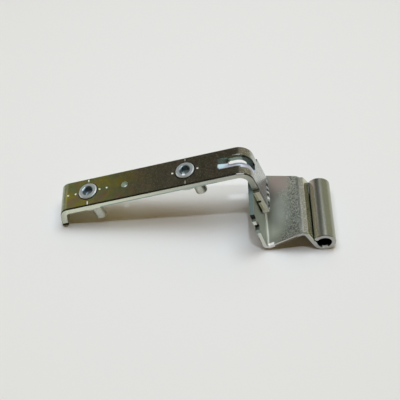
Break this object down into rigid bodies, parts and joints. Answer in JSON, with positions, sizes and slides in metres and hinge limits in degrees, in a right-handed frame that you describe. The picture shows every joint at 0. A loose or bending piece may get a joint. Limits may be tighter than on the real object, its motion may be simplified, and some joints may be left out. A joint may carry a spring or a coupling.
{
  "type": "window stay hinge arm",
  "caption": "Bent strip arm with a folded hinge leaf and rolled knuckle at one end, a lip at the other, and eccentric socket-head adjusters with guide pins below.",
  "frame": {"origin": "middle of the knuckle's bore", "axes": "+Y along the bore, +Z normal to the arm's top face, the arm points towards -X"},
  "size_m": [0.1511, 0.0536, 0.0584],
  "materials": {
    "yellow_zinc": "olive-yellow passivated zinc plate",
    "satin_zinc": "mottled grey-olive zinc plate",
    "weld_zinc": "plated weld beads",
    "blue_zinc": "blue-white zinc plate"
  },
  "bodies": {
    "stay": {"stay_arm": "yellow_zinc", "hinge_leaf": "satin_zinc", "weld_seam": "weld_zinc"},
    "left_adjuster": {"left_socket_head": "blue_zinc", "left_eccentric_disc": "blue_zinc", "left_guide_pin": "blue_zinc"},
    "right_adjuster": {"right_socket_head": "blue_zinc", "right_eccentric_disc": "blue_zinc", "right_guide_pin": "blue_zinc"}
  },
  "joints": [
    {"name": "left_adjuster_turn", "type": "hinge", "parent": "stay", "child": "left_adjuster", "pos_m": [-0.1236, 0.0085, 0.0509], "axis": [0, 0, 1], "continuous": true},
    {"name": "right_adjuster_turn", "type": "hinge", "parent": "stay", "child": "right_adjuster", "pos_m": [-0.0656, 0.0085, 0.0509], "axis": [0, 0, 1], "continuous": true}
  ]
}
